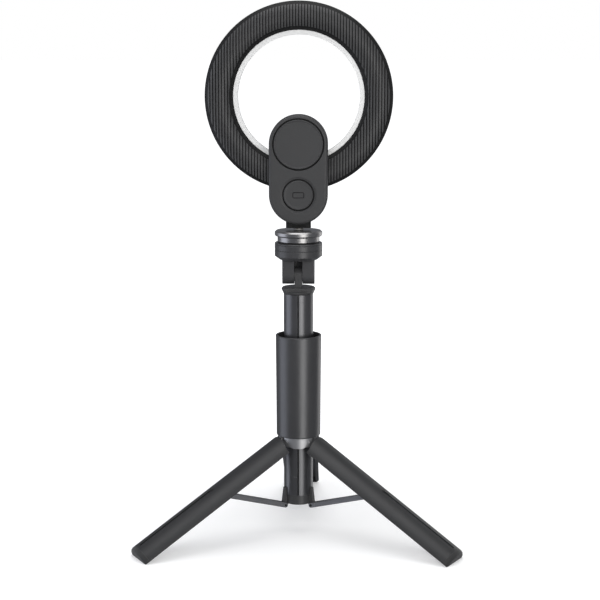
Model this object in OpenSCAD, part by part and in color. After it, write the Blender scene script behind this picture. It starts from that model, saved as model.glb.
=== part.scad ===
// Ring light on a folding table tripod with a telescoping pole.
// Frame: floor at z = 0, pole on the Z axis, front legs and push button towards -Y,
// light shining towards +Y. Every piece is drawn where it sits with the legs open.

/* [Tripod legs] */
// Angle between an open leg and the pole
leg_open = 60; // [50:1:66]
// Height of the leg hinges above the floor
hinge_z = 82.6; // [76:0.2:92]
// Room between the pole and the closed legs, where the struts lie
strut_space = 4.9; // [4.8:0.1:5.4]
// Distance of a leg's hinge from its outer skin
hinge_in = 4; // [3.9:0.1:4.1]
// Wall of the leg's outer skin
leg_wall = 1.3; // [1:0.1:1.5]
// Depth of the leg's two edges, from its outer skin inwards
leg_edge = 3; // [2.4:0.1:3.6]
// Angle left between two closed legs
leg_split = 3; // [2:0.5:8]
// Diameter of a leg's hinge pin
hinge_pin_d = 2.2; // [1.8:0.1:2.3]
// Length of the rubber shoe at the end of a leg
shoe_len = 4.2; // [3:0.1:8]
// Width of the long slot along a leg's crest
slot_w = 2.4; // [2:0.1:3]
// Length of the slot, from the open stop towards the foot
slot_len = 75; // [60:1:76]

/* [Struts] */
// Place of the strut's sliding pin on an open leg, from the leg's hinge
slider_at = 72.5; // [68:0.5:74]
// Distance of the sliding pin from the leg's outer skin
slider_in = 5.4; // [5.4:0.1:5.6]
// Height of the strut's fixed pin
strut_pin_z = 26; // [24:0.5:30]
// Distance of the strut's fixed pin from the pole's skin
strut_pin_out = 1.4; // [1.3:0.1:1.6]
// Depth of a strut
strut_h = 4; // [3.2:0.1:4]
// Width of a strut
strut_w = 5.6; // [4.6:0.1:6]
// Sheet of a strut
strut_wall = 0.9; // [0.6:0.1:1.2]
// Diameter of a strut's two pins
strut_pin_d = 2; // [1.6:0.1:2.2]

/* [Pole] */
// Outer diameter of the fixed outer tube
pole_d = 24.4; // [24:0.1:24.8]
// Wall of the outer tube
pole_wall = 0.9; // [0.8:0.1:1]
// Height of the outer tube's top
pole_top = 205.2; // [190:0.2:240]
// Step in diameter from one inner tube to the next
tube_step = 2.8; // [2.6:0.1:3]
// Wall of the inner tubes
tube_wall = 0.7; // [0.5:0.1:0.8]
// Length of the guide bush in the mouth of each tube
bush_len = 12; // [8:1:20]
// Length of the glide at the foot of each inner tube
glide_len = 8; // [6:1:14]
// Height of the cap that closes the pole's lower end
cap_h = 7.8; // [6:0.2:12]
// Width of the groove down the front of the outer tube
groove_w = 1.3; // [1:0.1:2.4]

/* [Grip sleeve] */
// Length of the grip sleeve
grip_len = 84.6; // [60:0.2:100]
// How much less than the closed legs the sleeve's lower end measures across
grip_less = 0.2; // [0:0.1:0.6]
// How much wider than its lower end the sleeve's upper end is
grip_flare = 1.2; // [0:0.1:2]
// Wall of the sleeve
grip_wall = 1.6; // [1.2:0.1:1.7]
// Gap between the leg hinges and the sleeve's lower end
grip_above_hinge = 3.3; // [2.9:0.1:5]

/* [Tilt joint] */
// Diameter of the pole's head
head_d = 28; // [26:0.2:30]
// Height of the pole's head
head_h = 5; // [4.8:0.2:8]
// Height of the tilt bolt above the head's flat top
tilt_rise = 10; // [9.5:0.1:14]
// Thickness of the head's upright tab
tab_w = 6.2; // [5:0.1:7]
// Radius of the tab's round end
tab_r = 6; // [5:0.1:6.4]
// Width over the fork's two ears
fork_w = 26.6; // [24:0.2:28]
// Radius of the ears' round ends
ear_r = 7.5; // [6.6:0.1:8]
// Diameter of the tilt bolt
bolt_d = 4; // [3:0.1:5]

/* [Head] */
// Diameter of the black collar
collar_d = 39; // [38:0.1:40]
// Height of the collar, without its chamfer
collar_h = 10.9; // [10:0.1:14]
// Height of the collar's lower chamfer
collar_chamfer = 3; // [2:0.1:4]
// Distance from the tilt bolt to the collar's lower face
collar_rise = 13.2; // [12:0.1:15]
// Diameter of the metal plate's waist
waist_d = 34.4; // [30:0.2:36]
// Height of the metal plate's waist
waist_h = 4.6; // [2.6:0.1:5]
// Height of the metal plate's flange
flange_h = 4.4; // [3:0.1:5]
// Diameter of the fixing screw
stud_d = 6.35; // [6:0.05:6.6]
// Screw showing between the metal plate and the neck
stud_show = 2.4; // [0.8:0.1:3]

/* [Control body] */
// Width of the body, which is also the diameter of its round ends
body_w = 48; // [44:0.2:50]
// Distance between the centres of its two round ends
body_rise = 41; // [40:0.5:48]
// Depth of the body
body_depth = 14; // [13:0.2:18]
// Distance from the pole's axis to the body's outer face
body_back = 8; // [7.6:0.2:10]
// Wall of the body's two shells
body_wall = 1.8; // [1.4:0.1:2]
// Edge round of the body's outer face
body_round = 2.6; // [1.5:0.1:3]
// Width of the neck block
neck_w = 20.4; // [18:0.2:24]
// Depth of the neck block
neck_depth = 12; // [10.6:0.2:13]
// Neck showing between the screw and the body
neck_show = 3; // [2.6:0.1:8]
// Diameter of the round cover
cover_d = 40; // [37:0.2:40.6]
// Diameter of the push button
button_d = 24; // [21:0.2:24.6]
// Travel of the push button
button_travel = 0.8; // [0.5:0.1:1]

/* [Ring] */
// Outer diameter of the ring
ring_d = 153.6; // [148:1:156]
// Inner diameter of the ring's housing
ring_hole = 107.2; // [104:0.2:108]
// Inner diameter of the diffuser
diffuser_hole = 99.6; // [97:0.2:102]
// How far the body's upper centre stands above the ring's lowest point
ring_overlap = 39.1; // [37:0.1:41]
// Depth of the ring, front to back
ring_depth = 14; // [13.6:0.2:16]
// Height of the domed back
ring_crown = 7; // [6.4:0.1:7.4]
// Wall of the ring's housing
ring_wall = 1.6; // [1.2:0.1:1.8]
// Distance from one rib to the next
rib_pitch = 2.4; // [2.2:0.1:4]
// Width of the groove between two ribs
rib_groove = 1; // [0.8:0.1:1.2]
// Depth of the grooves
rib_depth = 0.5; // [0.3:0.05:0.5]
// Plain border outside the ribs
rib_border = 2.8; // [2.4:0.1:6]
// Plain border inside the ribs
rib_inner_border = 3; // [2.4:0.1:5]
// Number of lamps on the lamp board
led_count = 48; // [24:4:72]

/* [Clearances] */
// Gap between pieces that move past each other
gap = 0.3; // [0.25:0.05:0.35]
// Radial running fit of pins and tubes
fit = 0.05; // [0.02:0.01:0.08]
// Joint line between two fixed pieces
seam = 0.02; // [0.01:0.01:0.05]

/* [Hidden] */
$fn = 64;
eps = 0.01;

// Legs stand at 120 degrees: two towards the front, one straight back
leg_azimuth = [-30, -150, 90];

// Leg: the slice's lower corner decides how long it is to stand on the floor
pole_r = pole_d / 2;
leg_inner_r = pole_r + strut_space;
leg_r = leg_inner_r + leg_wall;
leg_half = 60 - leg_split / 2;
edge_r = leg_r - leg_edge;
hinge_r = leg_r - hinge_in;
corner_out = edge_r * cos(leg_half);
foot_flat = 0.6;
leg_len = (hinge_z + foot_flat + (corner_out - hinge_r) * sin(leg_open)) / cos(leg_open);
leg_top = -2.2;
lug_w = 2.5;
lug_in = 2.4;
lug_r = 2;
hinge_pin_len = 17.2;
edge_start = 14;
edge_deg = 8.5;
shoe_corner = 3.6;

// Strut: from its fixed pin to the sliding pin on the open leg
slider_r = leg_r - slider_in;
strut_pin_r = pole_r + strut_pin_out;
slider_off = slider_r - hinge_r;
strut_out_x = hinge_r + slider_off * cos(leg_open) + slider_at * sin(leg_open) - strut_pin_r;
strut_out_z = hinge_z + slider_off * sin(leg_open) - slider_at * cos(leg_open) - strut_pin_z;
strut_len = norm([strut_out_x, strut_out_z]);
strut_lift = atan2(strut_out_z, strut_out_x);
strut_eye = strut_h / 2;
tongue_w = strut_w - 2 * strut_wall - 2 * gap;
strut_pin_len = strut_w + 0.6;
web_start = 6;
web_end = 16;
stud_ahead = 2.5;
block_len = 13;
block_top = leg_inner_r - gap;
block_bottom = slider_r + strut_eye + gap;

// Hub, under the sleeve and round the pole
hub_r = leg_inner_r - 0.9;
hub_top = 24;
hub_low = 5;
shield_r = leg_inner_r + 0.2;
shield_wide = leg_r - 2.6;
shield_step = -1.2;
shield_low = -5.6;
shield_tip = 3.6;
grip_z = hinge_z + grip_above_hinge - 0.2;
grip_d_low = 2 * leg_r - grip_less;
grip_d_high = grip_d_low + grip_flare;
grip_bore = grip_d_low / 2 - grip_wall;

// Pole cap and tubes
cap_z = strut_pin_z + 1.3;
cap_top = cap_z + cap_h;
plug_len = 3;
lug_height = 6;
inner_r = [for (k = [0:3]) k == 0 ? pole_r : pole_r - 1.6 - (k - 1) * tube_step / 2];
inner_bore = [for (k = [0:3]) inner_r[k] - (k == 0 ? pole_wall : tube_wall)];
tube_foot = [for (k = [0:3]) cap_top + plug_len + gap + (k - 1) * 2];

// Tilt joint and collar
head_z = pole_top + gap;
head_top = head_z + head_h;
tilt_z = head_top + tilt_rise;
head_taper = 3.4;
head_plug = 20;
head_flat = 9.5;
head_notch = 3.2;
head_clear = collar_rise - 0.4;
fork_gap = tab_w + 2 * gap;
collar_z = tilt_z + collar_rise;
collar_low_d = 31;
collar_top = collar_z + collar_chamfer + collar_h;
seam_rise = 4.6;
pocket_r = 6.8;
pocket_h = 6;
stop_gap = 0.4;
stop_low = 2;
bolt_head_r = 3.4;
bolt_head_h = 2;
washer_h = 0.6;

// Metal plate, screw and neck
plate_z = collar_top + washer_h + gap;
plate_top = plate_z + waist_h + flange_h;
screw_shank_r = 4;
screw_head_r = 6.2;
screw_head_h = 2.4;
neck_z = plate_top + stud_show;
body_low = neck_z + neck_show;
insert_r = 5;
insert_h = 9;

// Control body
body_r = body_w / 2;
low_z = body_low + body_r;
high_z = low_z + body_rise;
body_front = body_depth - body_back;
part_line = 1;
cover_groove = 1.15;
cover_depth = 2;
seat_r = 14.8;
seat_groove_r = 13.1;
seat_depth = 0.9;
seat_step = 0.3;
icon_w = 9.8;
icon_h = 5.2;
icon_line = 0.5;
icon_depth = 0.25;
boss_r = 2.6;
body_screw_r = 1.2;
upper_screw_x = 0.577 * body_r;
upper_screw_z = 0.662 * body_r;
lower_screw_x = 0.786 * body_r;
neck_in = 7;
switch_w = 6;
switch_t = 0.8;
cell_w = 0.555 * body_w;
cell_h = 0.634 * body_rise;
port_len = 7;
port_skin = 0.4;
board_y = 1.4;
board_t = 1.2;
port_w = 9;
port_h = 3.2;

// Ring
ring_r = ring_d / 2;
ring_z = high_z + ring_r - ring_overlap;
ring_in = ring_hole / 2;
ring_mid = (ring_r + ring_in) / 2;
ring_half = (ring_r - ring_in) / 2;
ring_back = body_front - 3;
ring_front = ring_back + ring_depth;
crown_r = (ring_half * ring_half + ring_crown * ring_crown) / (2 * ring_crown);
crown_y = ring_back + crown_r;
shoulder_y = ring_back + ring_crown;
cover_sheet = 0.5;
rib_out = ring_r - rib_border;
rib_in = ring_in + rib_inner_border;
diffuser_t = 1.5;
diffuser_in = diffuser_hole / 2;

// ---- helpers ----

// Turns a piece drawn along +X to a leg's direction
module at_azimuth(i) {
    rotate([0, 0, leg_azimuth[i]]) children();
}

// Swings a leg piece, drawn closed against the pole, to its open place
module opened(i) {
    at_azimuth(i)
        translate([hinge_r, 0, hinge_z])
            rotate([0, -leg_open, 0])
                translate([-hinge_r, 0, -hinge_z])
                    children();
}

// A slice of the plane either side of +X, out to radius far
module slice(half, far = 40) {
    polygon([[0, 0], [far, -far * tan(half)], [far, far * tan(half)]]);
}

// Part of a flat ring, half either side of +X
module ring_slice(r_in, r_out, half) {
    intersection() {
        difference() {
            circle(r_out);
            circle(r_in);
        }
        slice(half);
    }
}

// A prism whose outline is drawn in x and z, and whose thickness runs from y0 to y1
module side_plate(y0, y1) {
    translate([0, y1, 0])
        rotate([90, 0, 0])
            linear_extrude(y1 - y0)
                children();
}

// A round bar across the leg, centred on the leg's plane
module cross_bar(x, z, r, len) {
    translate([x, len / 2, z])
        rotate([90, 0, 0])
            cylinder(r = r, h = len);
}

// A tube standing on z
module pipe(r_out, r_in, z0, z1) {
    translate([0, 0, z0])
        difference() {
            cylinder(r = r_out, h = z1 - z0);
            translate([0, 0, -eps])
                cylinder(r = r_in, h = z1 - z0 + 2 * eps);
        }
}

// A turned ring whose outline is drawn as radius and y, with its axis at height z
module turned_y(z) {
    translate([0, 0, z])
        rotate([-90, 0, 0])
            rotate_extrude($fn = 128)
                children();
}

// A bar along Y
module bar_y(x, z, r, y0, y1) {
    translate([x, y0, z])
        rotate([-90, 0, 0])
            cylinder(r = r, h = y1 - y0);
}

// The body's long round outline, radius r, from y0 to y1
module stadium(r, y0, y1) {
    for (z = [low_z, high_z])
        bar_y(0, z, r, y0, y1);
    translate([-r, y0, low_z])
        cube([2 * r, y1 - y0, high_z - low_z]);
}

// ---- grip, hub and pole ----

module grip_sleeve() {
    low_r = grip_d_low / 2;
    high_r = grip_d_high / 2;
    top = grip_z + grip_len;
    edge = 0.5;
    color([0.17, 0.17, 0.18])
        rotate_extrude($fn = 128)
            polygon([
                [grip_bore, grip_z], [low_r - edge, grip_z], [low_r, grip_z + edge],
                [high_r, top - edge], [high_r - edge, top], [high_r - grip_wall, top],
                [grip_bore, grip_z + hub_top + 4]
            ]);
}

// Outline of the shield between two legs, in width and height from the hinges
module shield(grow = 0) {
    polygon([
        [-shield_wide - grow, grip_z - hinge_z], [-shield_wide - grow, shield_step - grow],
        [-shield_tip - grow, shield_low - grow], [shield_tip + grow, shield_low - grow],
        [shield_wide + grow, shield_step - grow], [shield_wide + grow, grip_z - hinge_z]
    ]);
}

// The shield as a block through the tube wall, midway between two legs
module shield_block(grow = 0) {
    translate([0, 0, hinge_z])
        rotate([90, 0, 90])
            linear_extrude(30)
                shield(grow);
}

module leg_hub() {
    low = hinge_z - hub_low;
    shield_z = hinge_z + shield_low;
    pocket_w = lug_w + 2 * gap;
    pocket_in = lug_r + 1.6;
    color([0.55, 0.55, 0.56])
        difference() {
            union() {
                translate([0, 0, low])
                    cylinder(r = hub_r, h = grip_z - low + hub_top / 2);
                translate([0, 0, grip_z])
                    cylinder(r = grip_bore - seam, h = hub_top);
                intersection() {
                    translate([0, 0, shield_z - 1])
                        cylinder(r = shield_r, h = grip_z - shield_z + 1 - gap);
                    union() {
                        for (s = [-60, 60, 180])
                            at_azimuth(0)
                                rotate([0, 0, s])
                                    shield_block();
                        translate([-20, -20, hinge_z + shield_step])
                            cube([40, 40, 20]);
                    }
                }
            }
            translate([0, 0, shield_z - 2])
                cylinder(r = pole_r + seam, h = hub_top + 40);
            for (i = [0:2])
                at_azimuth(i) {
                    cross_bar(hinge_r, hinge_z, hinge_pin_d / 2 + seam, hinge_pin_len + 2 * seam);
                    for (s = [-1, 1])
                        translate([hinge_r - pocket_in, s * (lug_in + lug_w / 2) - pocket_w / 2, shield_z - 1])
                            cube([12, pocket_w, grip_z - shield_z + 1 + gap]);
                }
        }
}

module leg_hinge_pins() {
    color([0.75, 0.75, 0.76])
        for (i = [0:2])
            at_azimuth(i)
                cross_bar(hinge_r, hinge_z, hinge_pin_d / 2, hinge_pin_len);
}

module pole_tube() {
    groove_depth = pole_wall - 0.3;
    notch_z = hinge_z - 31.5;
    color([0.3, 0.3, 0.32])
        difference() {
            pipe(pole_r, pole_r - pole_wall, cap_top, pole_top);
            translate([-groove_w / 2, -pole_r - 1, cap_top - 1])
                cube([groove_w, 1 + groove_depth, pole_top - cap_top + 2]);
            translate([-3.6, -pole_r - 1, notch_z])
                cube([3.6 + groove_w / 2, 1 + groove_depth, 0.9]);
        }
}

module pole_bottom_cap() {
    plug_r = pole_r - pole_wall - seam;
    eye = strut_eye;
    color([0.08, 0.08, 0.085])
        difference() {
            union() {
                translate([0, 0, cap_z])
                    cylinder(r1 = pole_r - 0.5, r2 = pole_r, h = 0.6);
                translate([0, 0, cap_z + 0.6])
                    cylinder(r = pole_r, h = cap_h - 0.6);
                translate([0, 0, cap_top - eps])
                    cylinder(r = plug_r, h = plug_len);
                for (i = [0:2])
                    at_azimuth(i) {
                        side_plate(-tongue_w / 2, tongue_w / 2)
                            polygon([
                                [pole_r - plug_len, cap_z + 0.6],
                                [strut_pin_r - 1.2, strut_pin_z - 1.6],
                                [strut_pin_r + eye - 0.02, strut_pin_z],
                                [strut_pin_r + 1.7, strut_pin_z + 3],
                                [pole_r + 1.5, cap_top + lug_height],
                                [pole_r - 0.1, cap_top + lug_height],
                                [pole_r - 0.1, cap_top], [pole_r - plug_len, cap_top]
                            ]);
                        cross_bar(strut_pin_r, strut_pin_z, eye, tongue_w);
                    }
            }
            pipe(pole_r + seam, plug_r, cap_top, cap_top + lug_height + 1);
            for (i = [0:2])
                at_azimuth(i)
                    cross_bar(strut_pin_r, strut_pin_z, strut_pin_d / 2 + seam, 20);
            translate([0, 0, cap_z - 1])
                cylinder(r = 1.6, h = 20);
            translate([0, 0, cap_z - 1])
                cylinder(r = 3.4, h = 3.5);
        }
}

module strut_pivot_pins() {
    color([0.7, 0.7, 0.72])
        for (i = [0:2])
            at_azimuth(i)
                cross_bar(strut_pin_r, strut_pin_z, strut_pin_d / 2, strut_pin_len);
}

module cap_screw() {
    color([0.6, 0.6, 0.62])
        difference() {
            union() {
                translate([0, 0, cap_z + 0.7])
                    cylinder(r = 3.2, h = 1.8);
                translate([0, 0, cap_z + 0.7])
                    cylinder(r = 1.6 - seam, h = cap_h + 1.5);
            }
            translate([0, 0, cap_z])
                cylinder(r = 1.4, h = 1.6, $fn = 6);
        }
}

// ---- legs ----

// Outline of a leg across its length
module leg_section() {
    ring_slice(leg_inner_r, leg_r, leg_half);
    difference() {
        ring_slice(edge_r, leg_inner_r + eps, leg_half);
        slice(leg_half - edge_deg);
    }
}

module leg_shell(i) {
    top = hinge_z + leg_top;
    end = hinge_z - leg_len + shoe_len;
    slot_top = hinge_z - slider_at - stud_ahead + slot_w / 2;
    color([0.2, 0.2, 0.2])
        opened(i)
            difference() {
                union() {
                    translate([0, 0, end])
                        linear_extrude(top - edge_start - end)
                            leg_section();
                    translate([0, 0, top - edge_start - eps])
                        linear_extrude(edge_start + eps)
                            ring_slice(leg_inner_r, leg_r, leg_half);
                    for (s = [-1, 1]) {
                        y0 = s > 0 ? lug_in : -lug_in - lug_w;
                        side_plate(y0, y0 + lug_w)
                            polygon([
                                [hinge_r - lug_r, hinge_z], [hinge_r + lug_r, hinge_z],
                                [leg_inner_r + 0.2, top - 1], [leg_inner_r + 0.2, top - edge_start],
                                [leg_inner_r - 1.2, top - edge_start]
                            ]);
                        translate([0, y0 + lug_w, 0])
                            rotate([90, 0, 0])
                                translate([hinge_r, hinge_z, 0])
                                    cylinder(r = lug_r, h = lug_w);
                    }
                }
                cross_bar(hinge_r, hinge_z, hinge_pin_d / 2 + fit, 40);
                for (s = [-60, 60])
                    rotate([0, 0, s])
                        shield_block(gap + 0.1);
                translate([10, -slot_w / 2, slot_top - slot_len + slot_w / 2])
                    cube([12, slot_w, slot_len - slot_w]);
                for (z = [slot_top - slot_w / 2, slot_top - slot_len + slot_w / 2])
                    translate([10, 0, z])
                        rotate([0, 90, 0])
                            cylinder(d = slot_w, h = 12);
            }
}

// Solid shoe that closes the leg's end: round corners, and a flat that stands on the floor
module leg_shoe(i) {
    end = hinge_z - leg_len;
    half = leg_r * sin(leg_half);
    round_off = shoe_corner * 0.8;
    color([0.1, 0.1, 0.1])
        difference() {
            opened(i)
                intersection() {
                    translate([0, 0, end])
                        linear_extrude(shoe_len - seam)
                            intersection() {
                                ring_slice(0, leg_r, leg_half);
                                translate([corner_out, -30])
                                    square([30, 60]);
                            }
                    translate([0, 0, end])
                        rotate_extrude()
                            polygon([
                                [0, 0], [leg_r - round_off, 0],
                                [leg_r - 0.5 * round_off, 0.14 * round_off],
                                [leg_r - 0.14 * round_off, 0.5 * round_off], [leg_r, round_off],
                                [leg_r + 1, round_off], [leg_r + 1, 2 * shoe_len], [0, 2 * shoe_len]
                            ]);
                    translate([0, 0, end])
                        rotate([90, 0, 90])
                            linear_extrude(30)
                                union() {
                                    translate([-half - 1, shoe_corner])
                                        square([2 * half + 2, shoe_len]);
                                    translate([-half + shoe_corner, 0])
                                        square([2 * (half - shoe_corner), shoe_len]);
                                    for (s = [-1, 1])
                                        translate([s * (half - shoe_corner), shoe_corner])
                                            circle(shoe_corner);
                                }
                }
            translate([-250, -250, -10])
                cube([500, 500, 10]);
        }
}

// ---- sliding blocks and struts ----

// Block that slides under the leg's crest and carries the strut's end pin
module slide_block(i) {
    pin_z = hinge_z - slider_at;
    notch_r = strut_pin_d / 2 + gap;
    hook_slack = 0.35;
    hook_low = slider_r - notch_r - 1;
    block_w = 9.6;
    top = pin_z + block_len / 2 - 1;
    color([0.12, 0.12, 0.12])
        opened(i)
            difference() {
                union() {
                    intersection() {
                        translate([block_bottom, -block_w / 2, top - block_len])
                            cube([4, block_w, block_len]);
                        translate([0, 0, top - block_len])
                            cylinder(r = block_top, h = block_len);
                    }
                    translate([hook_low, -tongue_w / 2, pin_z - 2])
                        cube([block_bottom - hook_low + 0.4, tongue_w, 5.2]);
                }
                cross_bar(slider_r, pin_z, notch_r, 20);
                translate([slider_r - notch_r - hook_slack, -10, pin_z - 10])
                    cube([2 * notch_r + hook_slack, 20, 10]);
                translate([10, 0, pin_z - stud_ahead])
                    rotate([0, 90, 0])
                        cylinder(r = 1.05 + seam, h = 12);
            }
}

module slide_stud(i) {
    z = hinge_z - slider_at - stud_ahead;
    shaft_r = 1.05;
    head_r = 1.8;
    color([0.8, 0.8, 0.8])
        opened(i)
            translate([0, 0, z])
                rotate([0, 90, 0]) {
                    translate([0, 0, block_bottom + 0.2])
                        cylinder(r = shaft_r, h = leg_r - block_bottom + gap);
                    translate([0, 0, leg_r + gap - seam])
                        cylinder(r1 = head_r, r2 = head_r * 0.6, h = 0.6);
                }
}

// Puts a piece drawn along +X between a strut's two pins
module on_strut(i) {
    at_azimuth(i)
        translate([strut_pin_r, 0, strut_pin_z])
            rotate([0, -strut_lift, 0])
                children();
}

// Channel bar: a web along the top and two cheeks that carry the pins
module strut(i) {
    inner_w = strut_w - 2 * strut_wall;
    rim = 0.7;
    dish = 0.25;
    color([0.4, 0.4, 0.43])
        on_strut(i)
            difference() {
                union() {
                    translate([0, -strut_w / 2, -strut_h / 2])
                        cube([strut_len, strut_w, strut_h]);
                    for (x = [0, strut_len])
                        cross_bar(x, 0, strut_eye, strut_w);
                }
                translate([web_start, -inner_w / 2, -strut_h / 2 - 1])
                    cube([strut_len - web_start - web_end, inner_w, strut_h - strut_wall + 1]);
                translate([-5, -inner_w / 2, -5])
                    cube([5 + web_start + eps, inner_w, 10]);
                translate([strut_len - web_end - eps, -inner_w / 2, -5])
                    cube([5 + web_end, inner_w, 10]);
                for (s = [-1, 1])
                    translate([4, s * strut_w / 2 - dish, -strut_h / 2 + rim])
                        cube([strut_len - 8, 2 * dish, strut_h - 2 * rim]);
                cross_bar(0, 0, strut_pin_d / 2 + fit, 20);
                cross_bar(strut_len, 0, strut_pin_d / 2 + seam, 20);
            }
}

module strut_end_pin(i) {
    color([0.75, 0.75, 0.76])
        on_strut(i)
            cross_bar(strut_len, 0, strut_pin_d / 2, strut_w - 2 * seam);
}

// ---- telescoping tubes ----

// Tube k of the pole, counted from the outer tube 0, with its glide at the foot
module inner_tube(k) {
    top = k == 3 ? head_z - seam : pole_top;
    color([0.45, 0.45, 0.47])
        difference() {
            union() {
                translate([0, 0, tube_foot[k]])
                    cylinder(r = inner_r[k], h = top - tube_foot[k]);
                translate([0, 0, tube_foot[k]])
                    cylinder(r = inner_bore[k - 1] - fit, h = glide_len);
            }
            translate([0, 0, tube_foot[k] - 1])
                cylinder(r = inner_bore[k], h = pole_top);
        }
}

// Guide bush in the mouth of tube k
module tube_bush(k) {
    color([0.1, 0.1, 0.1])
        pipe(inner_bore[k] - seam, inner_r[k + 1] + fit, pole_top - bush_len, pole_top);
}

module pole_head() {
    head_r = head_d / 2;
    plug_r = inner_bore[3] - seam;
    color([0.09, 0.09, 0.095])
        difference() {
            union() {
                difference() {
                    translate([0, 0, head_z])
                        rotate_extrude($fn = 128)
                            polygon([
                                [0, 0], [pole_r + 0.3, 0], [head_r, head_taper],
                                [head_r, head_h - 0.8], [head_r - 0.8, head_h], [0, head_h]
                            ]);
                    translate([-head_r, -head_flat - head_r, head_top - head_notch])
                        cube([head_d, head_r, head_h]);
                    translate([-head_r, -head_clear - head_r, head_z - 1])
                        cube([head_d, head_r, head_h + 2]);
                }
                translate([-tab_w / 2, -tab_r, head_top - 1])
                    cube([tab_w, 2 * tab_r, tilt_rise + 1]);
                translate([-tab_w / 2, 0, tilt_z])
                    rotate([0, 90, 0])
                        cylinder(r = tab_r, h = tab_w);
                translate([0, 0, head_z - head_plug])
                    cylinder(r = plug_r, h = head_plug + 1);
            }
            translate([-tab_w, 0, tilt_z])
                rotate([0, 90, 0])
                    cylinder(r = bolt_d / 2 + fit, h = 2 * tab_w);
        }
}

// ---- tilt fork and metal plate ----

module fork_collar() {
    r = collar_d / 2;
    low_r = collar_low_d / 2;
    edge = 0.5;
    groove = 0.35;
    seam_z = collar_chamfer + seam_rise;
    line_z = collar_chamfer + collar_h - 1.4;
    color([0.09, 0.09, 0.095])
        difference() {
            union() {
                translate([0, 0, collar_z])
                    rotate_extrude($fn = 128)
                        polygon([
                            [0, 0], [low_r, 0], [r, collar_chamfer],
                            [r, seam_z], [r - groove, seam_z + groove], [r, seam_z + 2 * groove],
                            [r, line_z - groove], [r - groove, line_z], [r, line_z + groove],
                            [r, collar_chamfer + collar_h - edge],
                            [r - edge, collar_chamfer + collar_h],
                            [0, collar_chamfer + collar_h]
                        ]);
                intersection() {
                    union() {
                        translate([-fork_w / 2, 0, tilt_z])
                            rotate([0, 90, 0])
                                cylinder(r = ear_r, h = fork_w);
                        translate([-fork_w / 2, -ear_r, tilt_z])
                            cube([fork_w, 2 * ear_r, collar_rise + 1]);
                    }
                    translate([0, 0, tilt_z - 20])
                        cylinder(r = 14.6, h = 60);
                }
            }
            translate([-fork_gap / 2, -20, tilt_z - 20])
                cube([fork_gap, 20 + tab_r + stop_gap, 20 + collar_rise]);
            translate([-fork_gap / 2, 0, tilt_z - 20 - stop_low])
                cube([fork_gap, 20, 20]);
            translate([-20, 0, tilt_z])
                rotate([0, 90, 0])
                    cylinder(r = bolt_d / 2 + seam, h = 40);
            for (s = [0, 1])
                mirror([s, 0, 0])
                    translate([fork_w / 2 - bolt_head_h - 0.8, 0, tilt_z])
                        rotate([0, 90, 0])
                            cylinder(r = bolt_head_r + 0.3, h = 10);
            translate([0, 0, collar_z - eps])
                cylinder(r = pocket_r, h = pocket_h);
            translate([0, 0, collar_z])
                cylinder(r = screw_shank_r + fit, h = 40);
        }
}

module tilt_bolt() {
    head_x = fork_w / 2 - bolt_head_h - 0.5;
    color([0.3, 0.3, 0.31])
        difference() {
            translate([0, 0, tilt_z])
                rotate([0, 90, 0]) {
                    translate([0, 0, head_x])
                        cylinder(r = bolt_head_r, h = bolt_head_h);
                    translate([0, 0, -head_x - 1.4])
                        cylinder(r = bolt_d / 2, h = 2 * head_x + 2);
                }
            translate([fork_w / 2 - 1.4, 0, tilt_z])
                rotate([0, 90, 0])
                    cylinder(r = 1.4, h = 4, $fn = 6);
        }
}

module tilt_nut() {
    nut_x = fork_w / 2 - bolt_head_h - 0.5;
    color([0.6, 0.6, 0.6])
        translate([-nut_x - bolt_head_h, 0, tilt_z])
            rotate([0, 90, 0])
                difference() {
                    cylinder(r = bolt_head_r, h = bolt_head_h, $fn = 6);
                    translate([0, 0, -1])
                        cylinder(r = bolt_d / 2 + seam, h = 5);
                }
}

// Two thin washers either side of the tab
module tilt_washers() {
    thin = gap - 2 * seam;
    color([0.8, 0.8, 0.78])
        for (s = [-1, 1])
            translate([s * (tab_w / 2 + gap / 2) - thin / 2, 0, tilt_z])
                rotate([0, 90, 0])
                    difference() {
                        cylinder(r = 5, h = thin);
                        translate([0, 0, -1])
                            cylinder(r = bolt_d / 2 + fit, h = 3);
                    }
}

module turn_washer() {
    color([0.15, 0.15, 0.15])
        pipe(16, screw_shank_r + 0.5, collar_top, collar_top + washer_h);
}

module turn_plate() {
    r = collar_d / 2;
    w = waist_d / 2;
    color([0.72, 0.72, 0.73])
        difference() {
            translate([0, 0, plate_z])
                rotate_extrude($fn = 128)
                    polygon([
                        [0, 0], [w - 0.4, 0], [w, 0.4], [w, waist_h - 0.5], [r - 0.7, waist_h],
                        [r, waist_h + 0.8], [r, waist_h + flange_h - 1.2],
                        [r - 1.2, waist_h + flange_h], [0, waist_h + flange_h]
                    ]);
            translate([0, 0, plate_z - 1])
                cylinder(r = screw_shank_r + seam, h = 3.6);
            translate([0, 0, plate_z - 1])
                cylinder(r = stud_d / 2 + seam, h = 20);
        }
}

module fixing_screw() {
    shank_top = plate_z + 2.6 - gap;
    head_low = collar_z + pocket_h - gap - screw_head_h;
    color([0.75, 0.75, 0.75])
        difference() {
            union() {
                translate([0, 0, head_low])
                    cylinder(r = screw_head_r, h = screw_head_h);
                translate([0, 0, head_low])
                    cylinder(r = screw_shank_r, h = shank_top - head_low);
                translate([0, 0, head_low])
                    cylinder(r = stud_d / 2, h = neck_z + insert_h - head_low);
            }
            translate([0, 0, head_low - 1])
                cylinder(r = 2.4, h = 2.4, $fn = 6);
        }
}

// ---- control body ----

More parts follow.
